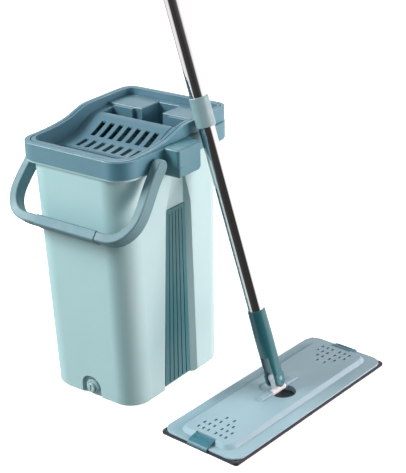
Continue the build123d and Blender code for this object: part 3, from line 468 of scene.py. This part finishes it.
# ------------------------------------------------------------------ floor, light, camera
bpy.ops.mesh.primitive_plane_add(size=60, location=(0, 0, 0))
floor = bpy.context.object
floor.name = "floor"
F = Mat("m_floor")
F.link(F.mix(F.rng(F.noise(1.3, 2.0, 0.5), 0.3, 0.7, 0, 1), (0.90, 0.905, 0.905, 1), (0.93, 0.93, 0.93, 1)), F.b.inputs["Base Color"])
F.b.inputs["Roughness"].default_value = 0.9
F.b.inputs["Specular IOR Level"].default_value = 0.1
F.b.inputs["Emission Color"].default_value = (1, 1, 1, 1)
F.b.inputs["Emission Strength"].default_value = 0.6
floor.data.materials.append(F.m)
floor.visible_glossy = False
floor.visible_diffuse = False

# studio surround: bright walls to the left and right, a dark opening where the viewer stands
w = bpy.data.worlds.new("world")
bpy.context.scene.world = w
w.use_nodes = True
nt = w.node_tree
bg = nt.nodes["Background"]


def wn(t):
    return nt.nodes.new(t)


def wmath(op, a, b=None):
    m = wn("ShaderNodeMath")
    m.operation = op
    for sock, v in zip(m.inputs, (a, b)):
        if v is None:
            continue
        if isinstance(v, bpy.types.NodeSocket):
            nt.links.new(v, sock)
        else:
            sock.default_value = v
    return m.outputs[0]


tc = wn("ShaderNodeTexCoord")
sep = wn("ShaderNodeSeparateXYZ")
nt.links.new(tc.outputs["Generated"], sep.inputs[0])
X_, Y_, Z_ = sep.outputs
u_ = wmath("ADD", wmath("MULTIPLY", X_, 0.5995), wmath("MULTIPLY", Y_, -0.8003))
v_ = wmath("ADD", wmath("MULTIPLY", X_, 0.8003), wmath("MULTIPLY", Y_, 0.5995))
ang = wmath("ADD", wmath("DIVIDE", wmath("ARCTAN2", v_, u_), 2 * math.pi), 0.5)


def ramp(stops):
    r = wn("ShaderNodeValToRGB")
    el = r.color_ramp.elements
    while len(el) > 1:
        el.remove(el[0])
    for k, (deg, val) in enumerate(stops):
        e = el[0] if k == 0 else el.new(deg / 360.0 + 0.5)
        e.position = deg / 360.0 + 0.5
        e.color = (val, val, val, 1)
    nt.links.new(ang, r.inputs["Fac"])
    return r.outputs["Color"]


low = ramp([(-180, 0.50), (-128, 0.52), (-112, 0.78), (-78, 0.84), (-62, 0.64), (-52, 0.05), (-10, 0.03), (48, 0.03), (63, 0.98), (104, 1.08), (140, 0.92), (165, 0.70), (180, 0.60)])
high = ramp([(-180, 0.48), (-80, 0.40), (-40, 0.16), (30, 0.14), (62, 0.44), (110, 0.56), (180, 0.50)])
mxn = wn("ShaderNodeMix")
mxn.data_type = "RGBA"
mr = wn("ShaderNodeMapRange")
for k, x in zip(("From Min", "From Max", "To Min", "To Max"), (0.10, 0.55, 0.0, 1.0)):
    mr.inputs[k].default_value = x
nt.links.new(Z_, mr.inputs["Value"])
nt.links.new(mr.outputs["Result"], mxn.inputs[0])
nt.links.new(low, mxn.inputs[6])
nt.links.new(high, mxn.inputs[7])
nt.links.new(mxn.outputs[2], bg.inputs[0])
bg.inputs[1].default_value = 1.25


def area(name, loc, target, size, power, color=(1, 1, 1)):
    l = bpy.data.lights.new(name, "AREA")
    l.shape = "RECTANGLE"
    l.size, l.size_y = size
    l.energy = power
    l.color = color
    o = bpy.data.objects.new(name, l)
    bpy.context.scene.collection.objects.link(o)
    o.location = loc
    d = (Vector(target) - Vector(loc)).normalized()
    o.rotation_euler = d.to_track_quat("-Z", "Y").to_euler()
    return o


area("key_left", (-1.50, -1.50, 1.80), (0.0, 0, 0.2), (1.0, 1.0), 92)
side = area("side_right", (2.05, 1.10, 0.62), (0.1, 0, 0.2), (1.2, 1.0), 76, (1.0, 0.74, 0.72))
rim = area("rim_back", (-1.2, 1.7, 1.5), (0.0, 0, 0.25), (0.9, 0.9), 5)
fill = area("fill_front", (1.2, -1.6, 0.9), (0.0, 0, 0.2), (1.4, 1.4), 9)
for l_ in (side, fill):
    l_.visible_glossy = False

cam = bpy.data.cameras.new("camera")
co = bpy.data.objects.new("camera", cam)
bpy.context.scene.collection.objects.link(co)
right = Vector((0.80459, 0.59358, -0.01734))
up = Vector((-0.21853, 0.32311, 0.92078))
back = Vector((0.55216, -0.73706, 0.38969))
mw = Matrix((right, up, back)).transposed().to_4x4()
mw.translation = Vector((1.021099, -1.203484, 0.867397))
co.matrix_world = mw
cam.sensor_width = 36.0
cam.lens = 94.37
cam.clip_start = 0.05
cam.clip_end = 40
bpy.context.scene.camera = co
bpy.context.scene.view_settings.view_transform = "Standard"
